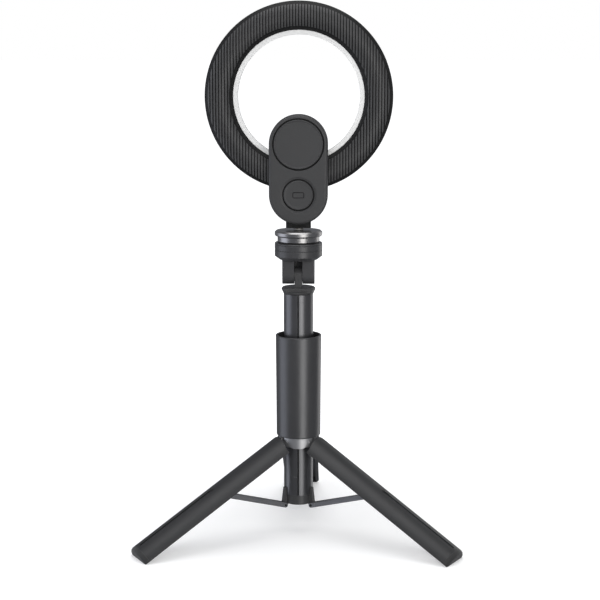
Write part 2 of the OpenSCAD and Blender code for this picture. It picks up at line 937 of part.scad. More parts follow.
// Block under the body, drawn grown by g for the opening it passes through
module neck_outline(g = 0) {
    r = 2.5;
    w = neck_w / 2 - r;
    d = neck_depth / 2 - r;
    for (x = [-w, w])
        for (y = [-d, d])
            translate([x, y])
                circle(r + g);
    square([neck_w + 2 * g, 2 * d], center = true);
    square([2 * w, neck_depth + 2 * g], center = true);
}

module neck_block() {
    h = neck_show + neck_in;
    recess = 0.8;
    color([0.07, 0.07, 0.075])
        difference() {
            translate([0, 0, neck_z])
                linear_extrude(h)
                    neck_outline();
            translate([0, 0, neck_z - 1])
                cylinder(r = insert_r, h = insert_h + 1);
            translate([0, 0, neck_z - 1])
                cylinder(r = stud_d / 2 + 0.5, h = h);
            translate([-5.5, -neck_depth / 2 - 1, neck_z + 1])
                cube([11, 1 + recess, neck_show - 1.6]);
        }
}

module thread_insert() {
    color([0.78, 0.62, 0.3])
        pipe(insert_r - seam, stud_d / 2 + seam, neck_z + 0.2, neck_z + insert_h);
}

// Solid outline of the body with a rounded edge at its outer face
module body_form() {
    back = -body_back;
    steps = 5;
    arc = [
        for (k = [0:steps])
            [body_r - body_round + body_round * sin(90 * k / steps),
             back + body_round - body_round * cos(90 * k / steps)]
    ];
    front_edge = 0.6;
    outline = concat(
        [[0, back]], arc,
        [[body_r, body_front - front_edge], [body_r - front_edge, body_front], [0, body_front]]
    );
    for (z = [low_z, high_z])
        turned_y(z)
            polygon(outline);
    translate([0, 0, low_z])
        linear_extrude(high_z - low_z)
            union() {
                polygon(outline);
                mirror([1, 0])
                    polygon(outline);
            }
}

module screw_places() {
    for (s = [-1, 1]) {
        translate([s * upper_screw_x, 0, high_z + upper_screw_z]) children();
        translate([s * lower_screw_x, 0, low_z - 1]) children();
    }
}

module body_back_shell() {
    inner = body_r - body_wall;
    color([0.24, 0.24, 0.245])
        difference() {
            intersection() {
                body_form();
                stadium(body_r + 1, -body_back - 1, part_line);
            }
            difference() {
                stadium(inner, -body_back + cover_depth + body_wall, part_line + 1);
                screw_places()
                    bar_y(0, 0, boss_r, -body_back, part_line + 2);
            }
            // round cover's pocket
            bar_y(0, high_z, cover_d / 2 + cover_groove, -body_back - 1, -body_back + cover_depth);
            // button's dished seat
            turned_y(low_z)
                polygon([
                    [0, -body_back - 1], [seat_r, -body_back - 1],
                    [seat_r, -body_back + seat_step], [seat_groove_r, -body_back + seat_depth],
                    [seat_groove_r, -body_back + cover_depth + 0.4],
                    [button_d / 2 - 1.5, -body_back + cover_depth + 0.4],
                    [button_d / 2 - 1.5, 0], [0, 0]
                ]);
            screw_places()
                bar_y(0, 0, body_screw_r + seam, -body_back + cover_depth + 1, part_line + 1);
            translate([0, 0, neck_z - 1])
                linear_extrude(1 + neck_show + neck_in + gap)
                    neck_outline(0.05);
            charging_opening();
        }
}

module body_front_shell() {
    inner = body_r - body_wall;
    color([0.2, 0.2, 0.205])
        difference() {
            intersection() {
                body_form();
                stadium(body_r + 1, part_line + seam, body_front + 1);
            }
            difference() {
                stadium(inner, part_line - 1, body_front - body_wall);
                screw_places()
                    bar_y(0, 0, boss_r, part_line - 1, body_front);
            }
            screw_places() {
                bar_y(0, 0, body_screw_r + 0.1, part_line - 1, body_front + 1);
                bar_y(0, 0, 2.2, body_front - 1.3, body_front + 1);
            }
            translate([0, 0, neck_z - 1])
                linear_extrude(neck_show + 8.2)
                    neck_outline(0.05);
            charging_opening();
        }
}

module body_screws() {
    color([0.3, 0.3, 0.3])
        screw_places()
            difference() {
                union() {
                    bar_y(0, 0, body_screw_r, -body_back + cover_depth + 1.5, body_front - 0.1);
                    bar_y(0, 0, 2.1, body_front - 1.25, body_front - 0.1);
                }
                translate([0, body_front, 0])
                    rotate([90, 0, 0])
                        cylinder(r = 1, h = 0.8, $fn = 6);
            }
}

module round_cover() {
    r = cover_d / 2;
    back = -body_back;
    color([0.25, 0.25, 0.255])
        turned_y(high_z)
            polygon([
                [0, back + 0.25], [r - 1.4, back + 0.25], [r - 1, back - 0.1], [r - 0.5, back - 0.1],
                [r, back + 0.4], [r, back + cover_depth - seam], [0, back + cover_depth - seam]
            ]);
}

// Ring that lines the button's opening
module button_seat() {
    back = -body_back + cover_depth + 0.4;
    color([0.1, 0.1, 0.1])
        turned_y(low_z)
            polygon([
                [button_d / 2 - 0.5, back - seam], [seat_groove_r - seam, back - seam],
                [seat_groove_r - seam, back - 0.7], [button_d / 2 + 0.5, back - 0.7],
                [button_d / 2 + 0.5, back - 0.3], [button_d / 2 - 0.5, back - 0.3]
            ]);
}

// Rounded bar outline of the mark on the button
module icon_outline(g) {
    r = 1.2 + g;
    w = icon_w / 2 + g - r;
    h = icon_h / 2 + g - r;
    square([2 * w, 2 * (h + r)], center = true);
    square([2 * (w + r), 2 * h], center = true);
    for (x = [-w, w])
        for (y = [-h, h])
            translate([x, y])
                circle(r);
}

module push_button() {
    r = button_d / 2;
    back = -body_back - 0.1;
    under = -body_back + cover_depth - 1;
    face_dip = 0.2;
    color([0.25, 0.25, 0.255])
        difference() {
            union() {
                turned_y(low_z)
                    polygon([
                        [0, back + face_dip], [r - 2, back + face_dip], [r - 0.6, back], [r, back + 0.5],
                        [r, under], [0, under]
                    ]);
                bar_y(0, low_z, 2, under - 0.1, board_y - board_t - 1.2 - button_travel);
            }
            translate([0, back + face_dip + icon_depth, low_z])
                rotate([90, 0, 0])
                    linear_extrude(2)
                        difference() {
                            icon_outline(0);
                            icon_outline(-icon_line);
                        }
        }
}

module push_switch() {
    y0 = board_y - board_t - 1.2;
    color([0.5, 0.5, 0.5]) {
        translate([-switch_w / 2, y0 + 0.4, low_z - switch_w / 2])
            cube([switch_w, switch_t, switch_w]);
        bar_y(0, low_z, 1.5, y0, y0 + 0.5);
    }
}

module control_board() {
    color([0.05, 0.3, 0.15])
        difference() {
            intersection() {
                stadium(body_r - body_wall - 0.4, board_y - board_t, board_y);
                translate([-body_w, -body_w, neck_z + neck_show + neck_in + 2 * gap])
                    cube([2 * body_w, 2 * body_w, body_rise + 2 * body_w]);
            }
            screw_places()
                bar_y(0, 0, boss_r + 0.3, -20, 20);
            translate([body_r - port_len - 1, -body_w / 2, (low_z + high_z) / 2 - port_w / 2 - gap])
                cube([port_len + 3, body_w, port_w + 2 * gap]);
        }
}

module battery_cell() {
    y0 = -body_back + cover_depth + body_wall + 0.1;
    color([0.35, 0.4, 0.5])
        translate([-cell_w / 2, y0, high_z - 0.58 * cell_h])
            cube([cell_w, board_y - board_t - 0.1 - y0, cell_h]);
}

module charging_opening() {
    translate([body_r - body_wall - 1, part_line - port_h / 2 - 0.2 - 1.2, (low_z + high_z) / 2 - port_w / 2 - 0.2])
        cube([6, port_h + 0.4, port_w + 0.4]);
}

module charging_port() {
    y = part_line - 1.2;
    color([0.7, 0.7, 0.72])
        difference() {
            translate([body_r - port_skin - port_len, y - port_h / 2, (low_z + high_z) / 2 - port_w / 2])
                cube([port_len, port_h, port_w]);
            translate([body_r - 5.4, y - port_h / 2 + 0.4, (low_z + high_z) / 2 - port_w / 2 + 0.4])
                cube([6, port_h - 0.8, port_w - 0.8]);
            stadium(body_r - 9, -20, 20);
        }
}

// ---- ring ----

// Domed outline of the ring's back, drawn as radius and y, inset by g
module crown_outline(g, y1) {
    intersection() {
        translate([ring_mid, crown_y])
            circle(crown_r - g, $fn = 96);
        translate([ring_in + g, 0])
            square([2 * ring_half - 2 * g, shoulder_y + 0.001]);
    }
    translate([ring_in + g, shoulder_y - 0.5 + g * 0.5])
        square([2 * ring_half - 2 * g, y1 - shoulder_y + 0.5 - g * 0.5]);
}

module ring_housing() {
    front = ring_front - diffuser_t - seam;
    color([0.1, 0.1, 0.1])
        difference() {
            turned_y(ring_z)
                difference() {
                    crown_outline(0, front);
                    crown_outline(ring_wall, front + 1);
                    crown_step();
                }
            stadium(body_r + 0.1, -20, body_front + 0.1);
        }
}

// Shallow recess of the domed cover, drawn as radius and y
module crown_step() {
    intersection() {
        difference() {
            translate([ring_mid, crown_y])
                circle(crown_r + 1, $fn = 96);
            translate([ring_mid, crown_y])
                circle(crown_r - cover_sheet - seam, $fn = 96);
        }
        translate([rib_in, 0])
            square([rib_out - rib_in, crown_y - 1]);
    }
}

// A layer of the domed cover, from g_out inside the dome to g_in inside it
module cover_layer(g_out, g_in) {
    turned_y(ring_z)
        intersection() {
            difference() {
                translate([ring_mid, crown_y])
                    circle(crown_r - g_out, $fn = 96);
                translate([ring_mid, crown_y])
                    circle(crown_r - g_in, $fn = 96);
            }
            translate([rib_in + seam, 0])
                square([rib_out - rib_in - 2 * seam, crown_y - 1]);
        }
}

module ring_cover() {
    color([0.1, 0.1, 0.1])
        difference() {
            cover_layer(0, cover_sheet);
            stadium(body_r + 0.1, -20, body_front + 0.1);
        }
}

// Straight upright ribs on the domed cover
module cover_ribs() {
    n = floor(rib_out / rib_pitch);
    color([0.14, 0.14, 0.14])
        difference() {
            cover_layer(-rib_depth, 0);
            for (k = [-n:n])
                translate([k * rib_pitch - rib_groove / 2, 0, ring_z - ring_r])
                    cube([rib_groove, 10, ring_d]);
            stadium(body_r + 0.1, -20, body_front + 0.1);
        }
}

module lamp_board() {
    y = ring_front - 6;
    color([0.92, 0.92, 0.88])
        turned_y(ring_z)
            translate([ring_in + ring_wall + 0.1, y])
                square([2 * ring_half - 2 * ring_wall - 0.2, 1]);
}

module lamp_chips() {
    y = ring_front - 5;
    color([0.95, 0.85, 0.4])
        for (k = [0:led_count - 1])
            translate([0, y, ring_z])
                rotate([0, k * 360 / led_count, 0])
                    translate([ring_mid - 1.2, 0, -1.2])
                        cube([2.4, 0.7, 2.4]);
}

module opal_sheet() {
    y = ring_front - diffuser_t - 1.4;
    color([0.95, 0.95, 0.93])
        turned_y(ring_z)
            translate([ring_in + ring_wall + 0.1, y])
                square([2 * ring_half - 2 * ring_wall - 0.2, 1.3]);
}

module ring_diffuser() {
    lip_y = shoulder_y + 0.2;
    skin = 1.5;
    color([0.88, 0.88, 0.9])
        turned_y(ring_z)
            polygon([
                [diffuser_in, lip_y], [ring_in - seam, lip_y], [ring_in - seam, lip_y + skin],
                [diffuser_in + skin, lip_y + skin], [diffuser_in + skin, ring_front - diffuser_t],
                [ring_r - 0.8, ring_front - diffuser_t], [ring_r - 0.8, ring_front - 0.5],
                [ring_r - 1.3, ring_front], [diffuser_in + 0.5, ring_front],
                [diffuser_in, ring_front - 0.5]
            ]);
}

grip_sleeve();
leg_hub();
leg_hinge_pins();
pole_tube();
pole_bottom_cap();
strut_pivot_pins();
cap_screw();
tube_bush(0);  // tube_bush_1
leg_shell(0);  // leg_shell_1
leg_shell(1);  // leg_shell_2
leg_shell(2);  // leg_shell_3
leg_shoe(0);  // leg_shoe_1
leg_shoe(1);  // leg_shoe_2
leg_shoe(2);  // leg_shoe_3
slide_block(0);  // slide_block_1
slide_block(1);  // slide_block_2
slide_block(2);  // slide_block_3
slide_stud(0);  // slide_stud_1
slide_stud(1);  // slide_stud_2
slide_stud(2);  // slide_stud_3
strut(0);  // strut_1
strut(1);  // strut_2
strut(2);  // strut_3
strut_end_pin(0);  // strut_end_pin_1
strut_end_pin(1);  // strut_end_pin_2
strut_end_pin(2);  // strut_end_pin_3
inner_tube(1);  // tube_2
tube_bush(1);  // tube_bush_2
inner_tube(2);  // tube_3
tube_bush(2);  // tube_bush_3
inner_tube(3);  // tube_4
pole_head();
fork_collar();
tilt_bolt();
tilt_nut();
tilt_washers();
turn_washer();
turn_plate();
fixing_screw();
neck_block();
thread_insert();
body_back_shell();
body_front_shell();
body_screws();
round_cover();
button_seat();
push_button();
push_switch();
control_board();
battery_cell();
charging_port();
ring_housing();
ring_cover();
cover_ribs();
lamp_board();
lamp_chips();
opal_sheet();
ring_diffuser();
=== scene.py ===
# %% [markdown]
# # Ring light on a folding table tripod
# The solids come from the CAD model, which is loaded here as a fixed frame. This script
# gives every piece its finish, adds the few pieces that are easier to model as meshes,
# and sets up a plain studio. All sizes are in metres.

# %% Load the frame
import math

import bmesh
import bpy
from mathutils import Matrix, Vector


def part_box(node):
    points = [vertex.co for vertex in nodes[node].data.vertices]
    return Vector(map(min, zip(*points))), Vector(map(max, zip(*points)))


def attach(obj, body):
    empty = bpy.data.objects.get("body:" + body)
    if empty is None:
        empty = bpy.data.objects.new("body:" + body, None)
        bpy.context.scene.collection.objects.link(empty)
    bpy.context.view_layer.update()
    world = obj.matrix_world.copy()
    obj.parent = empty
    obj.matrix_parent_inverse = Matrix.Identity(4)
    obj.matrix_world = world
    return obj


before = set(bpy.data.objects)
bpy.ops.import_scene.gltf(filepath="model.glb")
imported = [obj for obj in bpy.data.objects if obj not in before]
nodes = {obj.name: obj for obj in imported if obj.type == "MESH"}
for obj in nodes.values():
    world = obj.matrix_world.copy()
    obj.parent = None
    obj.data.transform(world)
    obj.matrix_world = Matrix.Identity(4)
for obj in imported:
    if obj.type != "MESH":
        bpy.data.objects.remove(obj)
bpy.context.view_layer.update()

# %% [markdown]
# ## Shared effects
# Several finishes need the same small effects: a fine moulded grain, brushed lines, turned
# lines round an axis, and a rim that has rubbed brighter along the edges. Each one could be
# rebuilt in every material, but a node group with named sockets is made once and reused
# with other values. The groups put out only numbers and normals, and the shader stays in
# the material.

# %% Helpers for node groups
def new_group(name, inputs, outputs):
    """A shader node group with float inputs {name: default} and outputs {name: type}."""
    group = bpy.data.node_groups.new(name, "ShaderNodeTree")
    for label, value in inputs.items():
        kind = "NodeSocketVector" if value is None else "NodeSocketFloat"
        socket = group.interface.new_socket(label, in_out="INPUT", socket_type=kind)
        if value is not None:
            socket.default_value = value
    for label, kind in outputs.items():
        group.interface.new_socket(label, in_out="OUTPUT", socket_type=kind)
    inside = group.nodes.new("NodeGroupInput")
    outside = group.nodes.new("NodeGroupOutput")
    return group, inside, outside


def add(tree, kind, **values):
    """A node with its properties and input defaults set in one line."""
    node = tree.nodes.new(kind)
    for key, value in values.items():
        if key.startswith("in_"):
            name = key[3:].replace("_", " ")
            socket = node.inputs[int(name)] if name.isdigit() else node.inputs[name]
            socket.default_value = value
        else:
            setattr(node, key, value)
    return node


def math_node(tree, operation, a, b=None, clamp=False):
    """A Math node whose inputs are sockets or numbers; gives back its output."""
    node = add(tree, "ShaderNodeMath", operation=operation, use_clamp=clamp)
    for slot, value in enumerate((a, b)):
        if value is None:
            continue
        if hasattr(value, "links"):
            tree.links.new(value, node.inputs[slot])
        else:
            node.inputs[slot].default_value = value
    return node.outputs[0]


# %% Moulded grain
def make_grain():
    group, inside, outside = new_group(
        "moulded_grain",
        {"Vector": None, "Scale": 2500.0},
        {"Height": "NodeSocketFloat", "Patches": "NodeSocketFloat"},
    )
    fine = add(group, "ShaderNodeTexNoise", in_Detail=2.0, in_Roughness=0.55)
    broad = add(group, "ShaderNodeTexNoise", in_Scale=38.0, in_Detail=3.0)
    for noise in (fine, broad):
        group.links.new(inside.outputs["Vector"], noise.inputs["Vector"])
    group.links.new(inside.outputs["Scale"], fine.inputs["Scale"])
    group.links.new(fine.outputs["Fac"], outside.inputs["Height"])
    group.links.new(broad.outputs["Fac"], outside.inputs["Patches"])
    return group


# %% Lines drawn along one axis, for brushed and anodised metal
def make_brushed():
    group, inside, outside = new_group(
        "brushed_lines",
        {"Vector": None, "Across": 2600.0, "Along": 14.0},
        {"Height": "NodeSocketFloat", "Patches": "NodeSocketFloat"},
    )
    split = add(group, "ShaderNodeSeparateXYZ")
    join = add(group, "ShaderNodeCombineXYZ")
    group.links.new(inside.outputs["Vector"], split.inputs[0])
    for axis, scale in (("X", "Across"), ("Y", "Across"), ("Z", "Along")):
        group.links.new(
            math_node(group, "MULTIPLY", split.outputs[axis], inside.outputs[scale]),
            join.inputs[axis],
        )
    lines = add(group, "ShaderNodeTexNoise", in_Scale=1.0, in_Detail=2.0)
    broad = add(group, "ShaderNodeTexNoise", in_Scale=30.0, in_Detail=3.0)
    group.links.new(join.outputs[0], lines.inputs["Vector"])
    group.links.new(inside.outputs["Vector"], broad.inputs["Vector"])
    group.links.new(lines.outputs["Fac"], outside.inputs["Height"])
    group.links.new(broad.outputs["Fac"], outside.inputs["Patches"])
    return group


# %% Fine turned rings round the Z axis, as a lathe leaves them
def make_turned():
    group, inside, outside = new_group(
        "turned_lines",
        {"Vector": None, "Pitch": 4200.0},
        {"Height": "NodeSocketFloat", "Patches": "NodeSocketFloat"},
    )
    split = add(group, "ShaderNodeSeparateXYZ")
    group.links.new(inside.outputs["Vector"], split.inputs[0])
    flat = add(group, "ShaderNodeCombineXYZ")
    group.links.new(split.outputs["X"], flat.inputs["X"])
    group.links.new(split.outputs["Y"], flat.inputs["Y"])
    radius = add(group, "ShaderNodeVectorMath", operation="LENGTH")
    group.links.new(flat.outputs[0], radius.inputs[0])
    both = math_node(group, "ADD", radius.outputs["Value"], split.outputs["Z"])
    across = math_node(group, "MULTIPLY", both, inside.outputs["Pitch"])
    rings = add(group, "ShaderNodeTexNoise", noise_dimensions="1D", in_Scale=1.0, in_Detail=2.0)
    group.links.new(across, rings.inputs["W"])
    broad = add(group, "ShaderNodeTexNoise", in_Scale=40.0, in_Detail=3.0)
    group.links.new(inside.outputs["Vector"], broad.inputs["Vector"])
    group.links.new(rings.outputs["Fac"], outside.inputs["Height"])
    group.links.new(broad.outputs["Fac"], outside.inputs["Patches"])
    return group


# %% Softened edges, and a mask of where they are
def make_edges():
    group, inside, outside = new_group(
        "soft_edges",
        {"Radius": 0.0003, "Gain": 6.0},
        {"Normal": "NodeSocketVector", "Mask": "NodeSocketFloat"},
    )
    bevel = add(group, "ShaderNodeBevel", samples=6)
    group.links.new(inside.outputs["Radius"], bevel.inputs["Radius"])
    geometry = add(group, "ShaderNodeNewGeometry")
    dot = add(group, "ShaderNodeVectorMath", operation="DOT_PRODUCT")
    group.links.new(bevel.outputs[0], dot.inputs[0])
    group.links.new(geometry.outputs["Normal"], dot.inputs[1])
    away = math_node(group, "SUBTRACT", 1.0, dot.outputs["Value"])
    mask = math_node(group, "MULTIPLY", away, inside.outputs["Gain"], clamp=True)
    group.links.new(bevel.outputs[0], outside.inputs["Normal"])
    group.links.new(mask, outside.inputs["Mask"])
    return group


EFFECTS = {
    "grain": make_grain(),
    "brushed": make_brushed(),
    "turned": make_turned(),
}
SOFT_EDGES = make_edges()
print("effects", sorted(EFFECTS))

# %% [markdown]
# ## One recipe for the finishes
# Almost every finish here is the same recipe with other numbers: a base colour that drifts
# a little from patch to patch, a texture that gives it tooth, and edges that catch the
# light. A function keeps the recipe in one place, so each material below is one short
# line that says what is special about it.

# %% The recipe
ROUGH_DRIFT = 0.08  # how far the roughness wanders each way
COAT_ROUGHNESS = 0.15


def finish(
    name,
    colour,
    rough,
    metal=0.0,
    effect="grain",
    scale=None,
    bump=0.00001,
    drift=0.12,
    edge=0.0,
    edge_radius=0.00025,
    coat=0.0,
    sheen=0.0,
    specular=0.5,
):
    """A material: colour and roughness drift by patches, and the texture lifts the surface."""
    material = bpy.data.materials.new(name)
    material.use_nodes = True
    tree = material.node_tree
    shader = tree.nodes["Principled BSDF"]
    shader.inputs["Metallic"].default_value = metal
    shader.inputs["Coat Weight"].default_value = coat
    shader.inputs["Coat Roughness"].default_value = COAT_ROUGHNESS
    shader.inputs["Sheen Weight"].default_value = sheen
    shader.inputs["Specular IOR Level"].default_value = specular
    place = add(tree, "ShaderNodeTexCoord")
    texture = add(tree, "ShaderNodeGroup", node_tree=EFFECTS[effect])
    tree.links.new(place.outputs["Object"], texture.inputs["Vector"])
    if scale:
        texture.inputs[1].default_value = scale
    soft = add(tree, "ShaderNodeGroup", node_tree=SOFT_EDGES, in_Radius=edge_radius)

    low = [c * (1 - drift) for c in colour]
    high = [min(1.0, c * (1 + drift)) for c in colour]
    tint = add(tree, "ShaderNodeMix", data_type="RGBA", in_6=(*low, 1), in_7=(*high, 1))
    tree.links.new(texture.outputs["Patches"], tint.inputs[0])
    worn = add(tree, "ShaderNodeMix", data_type="RGBA")
    rubbed = [min(1.0, c * 2.2 + 0.03) for c in colour]
    worn.inputs[7].default_value = (*rubbed, 1)
    tree.links.new(math_node(tree, "MULTIPLY", soft.outputs["Mask"], edge), worn.inputs[0])
    tree.links.new(tint.outputs[2], worn.inputs[6])
    tree.links.new(worn.outputs[2], shader.inputs["Base Color"])

    smoothest, roughest = max(0.02, rough - ROUGH_DRIFT), min(1.0, rough + ROUGH_DRIFT)
    spread = add(tree, "ShaderNodeMapRange", in_3=smoothest, in_4=roughest)
    tree.links.new(texture.outputs["Patches"], spread.inputs[0])
    tree.links.new(spread.outputs[0], shader.inputs["Roughness"])

    lift = add(tree, "ShaderNodeBump", in_Strength=1.0, in_Distance=bump)
    tree.links.new(texture.outputs["Height"], lift.inputs["Height"])
    tree.links.new(soft.outputs["Normal"], lift.inputs["Normal"])
    tree.links.new(lift.outputs[0], shader.inputs["Normal"])
    return material


def dress(material, *names):
    """Gives CAD nodes a finish."""
    for name in names:
        slots = nodes[name].data.materials
        if len(slots) == 0:
            slots.append(material)
        for index in range(len(slots)):
            slots[index] = material
    dressed.update(names)
    print(material.name, "on", ", ".join(names))


dressed = set()

# %% [markdown]
# ## Black anodised metal
# The sleeve and the pole are aluminium, dyed black. Under a lamp they stay dark but show
# long soft streaks, because a tube is drawn along its length. A plain black plastic would
# lose the streaks, so these are mostly metal, fairly rough, with a dark base colour and
# brushed lines that run along the tube. The legs are duller and have a fine grain in place
# of streaks, so they are hardly metal at all.

# %% Sleeve, pole and legs
sleeve_black = finish(
    "sleeve_black", (0.1, 0.1, 0.103), 0.38, metal=0.75, effect="brushed", bump=0.000001, edge=0.3
)
dress(sleeve_black, "grip_sleeve")
pole_black = finish(
    "pole_black", (0.125, 0.125, 0.13), 0.34, metal=0.85, effect="brushed", bump=0.000001, edge=0.3
)
dress(pole_black, "pole_tube")
leg_black = finish(
    "leg_black", (0.022, 0.022, 0.023), 0.46, metal=0.1, scale=3000, bump=0.000008, edge=0.45
)
dress(leg_black, "leg_shell_1", "leg_shell_2", "leg_shell_3")

# %% [markdown]
# ## Moulded plastic
# The ring's back, the tilt joint and the small fittings are black plastic from a spark
# eroded mould, which leaves an even, very fine grain. The control body is the same stuff
# in a lighter charcoal with a smoother face.

# %% Plastics
mould_black = finish("mould_black", (0.018, 0.018, 0.018), 0.5, bump=0.000012, edge=0.3)
dress(mould_black, "turn_washer")
deep_black = finish("deep_black", (0.006, 0.006, 0.006), 0.6, bump=0.00001, edge=0.2, specular=0.3)
dress(deep_black, "ring_cover", "neck_block", "ring_housing")
joint_black = finish("joint_black", (0.04, 0.04, 0.041), 0.42, bump=0.000008, edge=0.35)
dress(joint_black, "pole_head", "pole_bottom_cap")
dress(mould_black, "tube_bush_1", "tube_bush_2", "tube_bush_3")
dress(mould_black, "slide_block_1", "slide_block_2", "slide_block_3")
rib_black = finish(
    "rib_black", (0.052, 0.052, 0.053), 0.44, bump=0.000006, specular=0.34,
    edge=0.35, edge_radius=0.0002,
)
dress(rib_black, "cover_ribs")
turned_black = finish(
    "turned_black", (0.04, 0.04, 0.042), 0.36, effect="turned", bump=0.000004, edge=0.35
)
dress(turned_black, "fork_collar")
charcoal = finish(
    "charcoal", (0.042, 0.042, 0.043), 0.48, bump=0.000007, drift=0.06, edge=0.25, specular=0.32
)
dress(charcoal, "body_back_shell", "body_front_shell", "round_cover", "push_button")
gloss_black = finish("gloss_black", (0.012, 0.012, 0.012), 0.16, bump=0.000002, coat=0.4)
dress(gloss_black, "button_seat")
shoe_rubber = finish(
    "shoe_rubber", (0.02, 0.02, 0.02), 0.72, scale=1800, bump=0.00003, sheen=0.15,
    edge=0.2, edge_radius=0.0006,
)
dress(shoe_rubber, "leg_shoe_1", "leg_shoe_2", "leg_shoe_3")

# %% [markdown]
# ## Bare metal
# The turning plate is machined aluminium, so a lathe's fine rings show and stretch the
# highlights. The hub is a satin casting. The hinge pins and the tilt nut are bright steel,
# and the screws, studs and strut pins are blackened.

# %% Metals
turned_metal = finish(
    "turned_metal", (0.33, 0.325, 0.325), 0.34, metal=1.0, effect="turned",
    bump=0.000006, drift=0.05, edge=0.4,
)
dress(turned_metal, "turn_plate")
satin_metal = finish("satin_metal", (0.42, 0.42, 0.43), 0.44, metal=0.9, bump=0.00001, edge=0.4)
dress(satin_metal, "leg_hub")
inner_metal = finish(
    "inner_metal", (0.5, 0.5, 0.52), 0.3, metal=1.0, effect="brushed", bump=0.000004, drift=0.05
)
dress(inner_metal, "tube_2", "tube_3", "tube_4")
bright_steel = finish(
    "bright_steel", (0.62, 0.62, 0.62), 0.26, metal=1.0, bump=0.000003, drift=0.05
)
dress(bright_steel, "leg_hinge_pins")
dress(bright_steel, "cap_screw", "tilt_nut", "tilt_washers", "charging_port")
strut_plate = finish(
    "strut_plate", (0.225, 0.225, 0.235), 0.44, metal=0.8, bump=0.000006, edge=0.6
)
dress(strut_plate, "strut_1", "strut_2", "strut_3")
black_oxide = finish("black_oxide", (0.03, 0.03, 0.03), 0.38, metal=0.6, bump=0.000004, edge=0.5)
dress(black_oxide, "tilt_bolt", "body_screws", "slide_stud_1", "slide_stud_2", "slide_stud_3")
dress(black_oxide, "strut_end_pin_1", "strut_end_pin_2", "strut_end_pin_3", "strut_pivot_pins")
dress(black_oxide, "fixing_screw")
insert_brass = finish(
    "insert_brass", (0.6, 0.42, 0.15), 0.32, metal=1.0, effect="turned", bump=0.000006
)
dress(insert_brass, "thread_insert")

# %% [markdown]
# ## The lit side and what lies under it
# The diffuser is opal plastic, which lets light a little way in before it comes back. Light
# scattered under the surface would show that, but a wall this thin looks much the same in
# a soft off-white, which renders faster. The boards, lamps and cell are inside, and get
# finishes of their own.

# %% Diffuser and inner pieces
opal = finish("opal", (0.72, 0.72, 0.715), 0.4, bump=0.000005, drift=0.03, specular=0.4)
dress(opal, "ring_diffuser", "opal_sheet")
board_white = finish("board_white", (0.75, 0.75, 0.7), 0.4, bump=0.000004, drift=0.04)
dress(board_white, "lamp_board")
lamp_yellow = finish("lamp_yellow", (0.75, 0.6, 0.18), 0.3, bump=0.000004, drift=0.05)
dress(lamp_yellow, "lamp_chips")
board_green = finish("board_green", (0.02, 0.13, 0.05), 0.35, bump=0.000006)
dress(board_green, "control_board")
cell_sleeve = finish("cell_sleeve", (0.12, 0.18, 0.32), 0.35, bump=0.000004)
dress(cell_sleeve, "battery_cell", "push_switch")
missing = sorted(set(nodes) - dressed)
print("nodes with no finish yet:", missing)

# %% [markdown]
# ## Small parts that lie in the solids
# A few pieces are too thin for the CAD: a near-black strip in the groove of the pole, a grey
# collar on the stud, a near-black ring at the bottom of the groove round the big disc and
# another round the button, the rolled lip of the sleeve, and the printed outline on the
# button. The strip and the two rings are painted shade: they darken the groove and the gaps
# where shade falls. Each is drawn in its place from the box of the solid that holds it, so it
# moves if that solid changes. An operator that is handed the wrong faces can leave a mesh
# empty without a word, so the helper stops the script when a piece has no faces.

# %% Helpers for the small parts
def new_piece(name, bm, material, body):
    """Makes an object of a bmesh, dresses it and lets it ride on a CAD body."""
    if not bm.faces:
        raise ValueError(name + " has no faces")
    bmesh.ops.recalc_face_normals(bm, faces=bm.faces)
    mesh = bpy.data.meshes.new(name)
    bm.to_mesh(mesh)
    bm.free()
    for face in mesh.polygons:
        face.use_smooth = True
    piece = bpy.data.objects.new(name, mesh)
    bpy.context.scene.collection.objects.link(piece)
    mesh.materials.append(material)
    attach(piece, body)
    print(name, "faces", len(mesh.polygons), "on", body)
    return piece


def spun_cord(radius, thick, matrix, steps=128, sides=12):
    """A cord of round section, spun once round the local Z axis and then placed."""
    bm = bmesh.new()
    section = bmesh.ops.create_circle(bm, segments=sides, radius=thick)["verts"]
    bmesh.ops.rotate(bm, verts=section, matrix=Matrix.Rotation(math.pi / 2, 3, "X"))
    bmesh.ops.translate(bm, verts=section, vec=(radius, 0, 0))
    bmesh.ops.spin(
        bm, geom=bm.verts[:] + bm.edges[:], axis=(0, 0, 1), angle=2 * math.pi,
        steps=steps, use_merge=True,
    )
    bmesh.ops.remove_doubles(bm, verts=bm.verts, dist=1e-7)
    bmesh.ops.transform(bm, matrix=matrix, verts=bm.verts)
    return bm


# %% Painted shade: a near-black strip lying on the floor of the groove of the pole
low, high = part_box("pole_tube")
strip_w, strip_t = 0.00116, 0.00036
groove_depth, end_gap, strip_bevel = 0.0006, 0.0006, 0.00003
groove_floor = low[1] + groove_depth
bm = bmesh.new()
made = bmesh.ops.create_cube(bm, size=1.0)["verts"]
length = high[2] - low[2] - end_gap
bmesh.ops.scale(bm, verts=made, vec=(strip_w, strip_t, length))
centre = (0, groove_floor - strip_t / 2, (low[2] + high[2]) / 2)
bmesh.ops.translate(bm, verts=made, vec=centre)
face = min(bm.faces, key=lambda f: f.calc_center_median().y)
bmesh.ops.inset_individual(bm, faces=[face], thickness=strip_w * 0.22, depth=0.00008)
bmesh.ops.bevel(
    bm, geom=bm.edges[:], offset=strip_bevel, affect="EDGES", segments=1, profile=0.5, material=-1
)
new_piece("groove_shade_strip", bm, deep_black, "pole_base")

